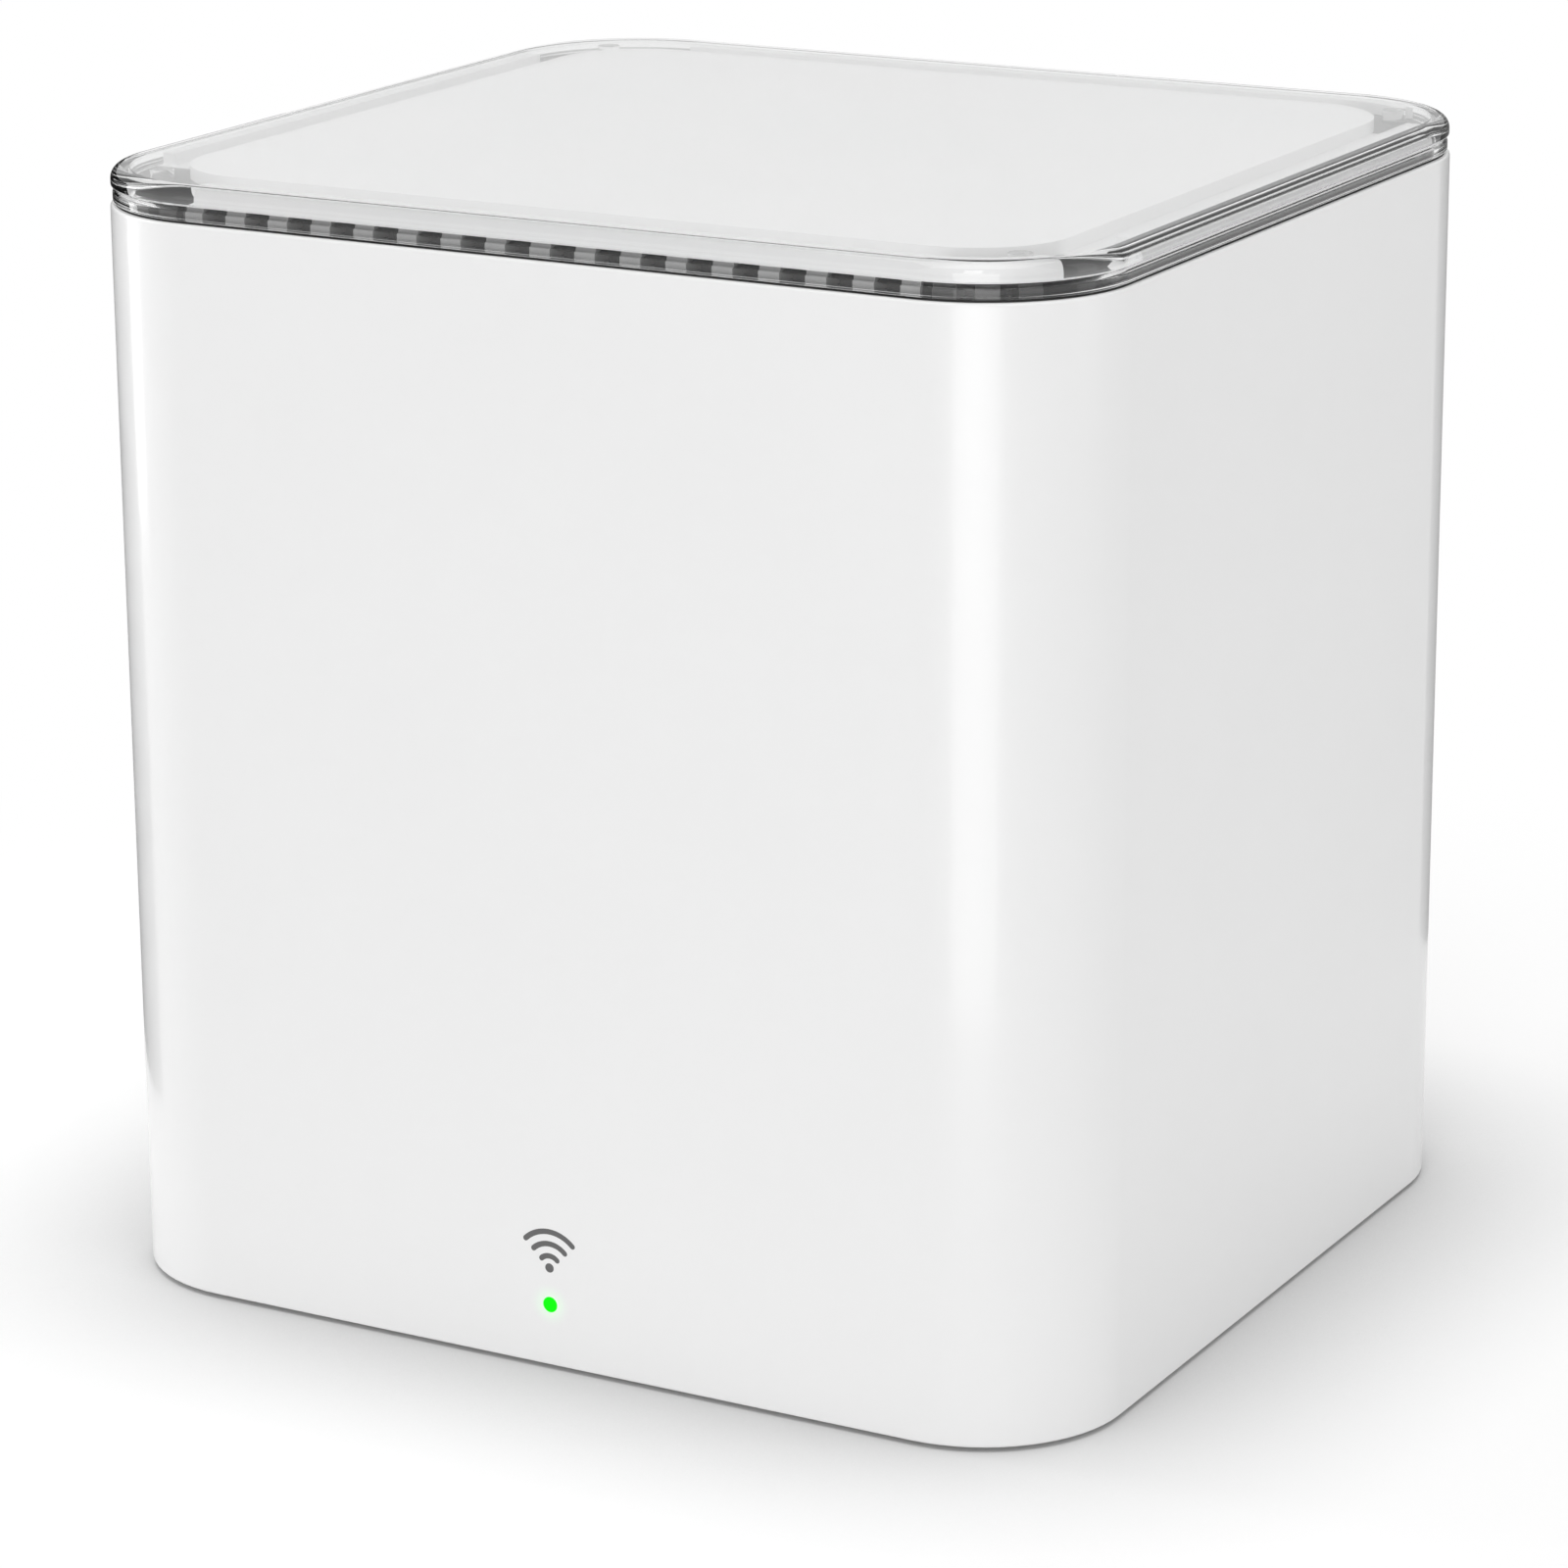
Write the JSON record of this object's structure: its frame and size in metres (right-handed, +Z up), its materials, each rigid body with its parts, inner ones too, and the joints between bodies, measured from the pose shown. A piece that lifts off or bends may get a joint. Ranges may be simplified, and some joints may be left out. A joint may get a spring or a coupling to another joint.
{
  "type": "wireless router",
  "caption": "Cube-shaped wireless router: white rounded-square sleeve, clear stepped cap over a white top panel, green status light, rear sockets and sprung buttons.",
  "frame": {"origin": "centre of the footprint, on the surface that the feet stand on", "axes": "+Z up; -Y out of the front face with the status light; +Y out of the socket panel; +X to the right seen from the front"},
  "size_m": [0.1, 0.0926, 0.1044],
  "materials": {
    "white_gloss_plastic": "satin-gloss moulded ABS",
    "white_plastic": "fine satin moulded ABS",
    "white_panel": "smooth white plate under the clear cap",
    "clear_acrylic": "clear polished acrylic",
    "black_mesh": "fine dust mesh",
    "grey_ink": "grey paint filled into a shallow recess",
    "green_light": "lit green light pipe and its lamp",
    "base_plastic": "fine spark texture",
    "grey_rubber": "matt",
    "steel": "plated",
    "label_film": "blank matt film label",
    "button_plastic": "satin",
    "black_plastic": "satin",
    "blue_plastic": "satin",
    "gold": "gold plated",
    "green_board": "solder-masked board",
    "chip_epoxy": "moulded epoxy",
    "thermal_pad": "soft pad",
    "aluminium": "extruded, clear anodised",
    "ferrite": "matt ferrite",
    "ceramic_parts": "small parts",
    "grey_plastic": "unpainted ABS",
    "copper": "bare copper",
    "black_foam": "dark foam seal",
    "lead_jacket": "thin coaxial lead"
  },
  "bodies": {
    "case": {"outer_sleeve": "white_gloss_plastic", "vent_frame": "white_plastic", "vent_screen": "black_mesh", "top_panel": "white_panel", "clear_cap": "clear_acrylic", "cap_seal": "black_foam", "signal_icon": "grey_ink", "light_pipe": "green_light", "base_plate": "base_plastic", "foot_front_left": "grey_rubber", "foot_front_right": "grey_rubber", "foot_rear_left": "grey_rubber", "foot_rear_right": "grey_rubber", "base_screws": "steel", "deck_screws": "steel", "rating_label": "label_film", "port_panel": "base_plastic", "mesh_switch": "steel", "reset_switch": "steel", "switch_domes": "steel", "wan_jack_shell": "steel", "wan_jack_insert": "blue_plastic", "wan_jack_contacts": "gold", "lan_jack_shell": "steel", "lan_jack_insert": "black_plastic", "lan_jack_contacts": "gold", "dc_jack_body": "black_plastic", "dc_jack_pin": "steel", "dc_jack_spring": "steel", "main_board": "green_board", "processor": "chip_epoxy", "memory_chip": "chip_epoxy", "flash_chip": "chip_epoxy", "switch_chip": "chip_epoxy", "thermal_pad": "thermal_pad", "heat_sink": "aluminium", "sink_pins": "black_plastic", "sink_springs": "steel", "shield_left": "steel", "shield_right": "steel", "radio_chips": "chip_epoxy", "ethernet_transformers": "chip_epoxy", "power_coils": "ferrite", "capacitors": "aluminium", "crystal": "steel", "chip_passives": "ceramic_parts", "status_led": "green_light", "antenna_sockets": "gold", "antenna_frame": "grey_plastic", "frame_screws": "steel", "antenna_left": "green_board", "antenna_right": "green_board", "antenna_front": "green_board", "antenna_rear": "green_board", "antenna_traces": "copper", "antenna_leads": "lead_jacket"},
    "mesh_button_body": {"mesh_button": "button_plastic", "mesh_plunger": "black_plastic"},
    "reset_button_body": {"reset_button": "button_plastic", "reset_plunger": "black_plastic"}
  },
  "joints": [
    {"name": "mesh_button_press", "type": "slide", "parent": "case", "child": "mesh_button_body", "axis": [0, -1, 0], "range_m": [0, 0.0003], "stiffness_N_per_m": 4000},
    {"name": "reset_button_press", "type": "slide", "parent": "case", "child": "reset_button_body", "axis": [0, -1, 0], "range_m": [0, 0.0003], "stiffness_N_per_m": 4000}
  ]
}
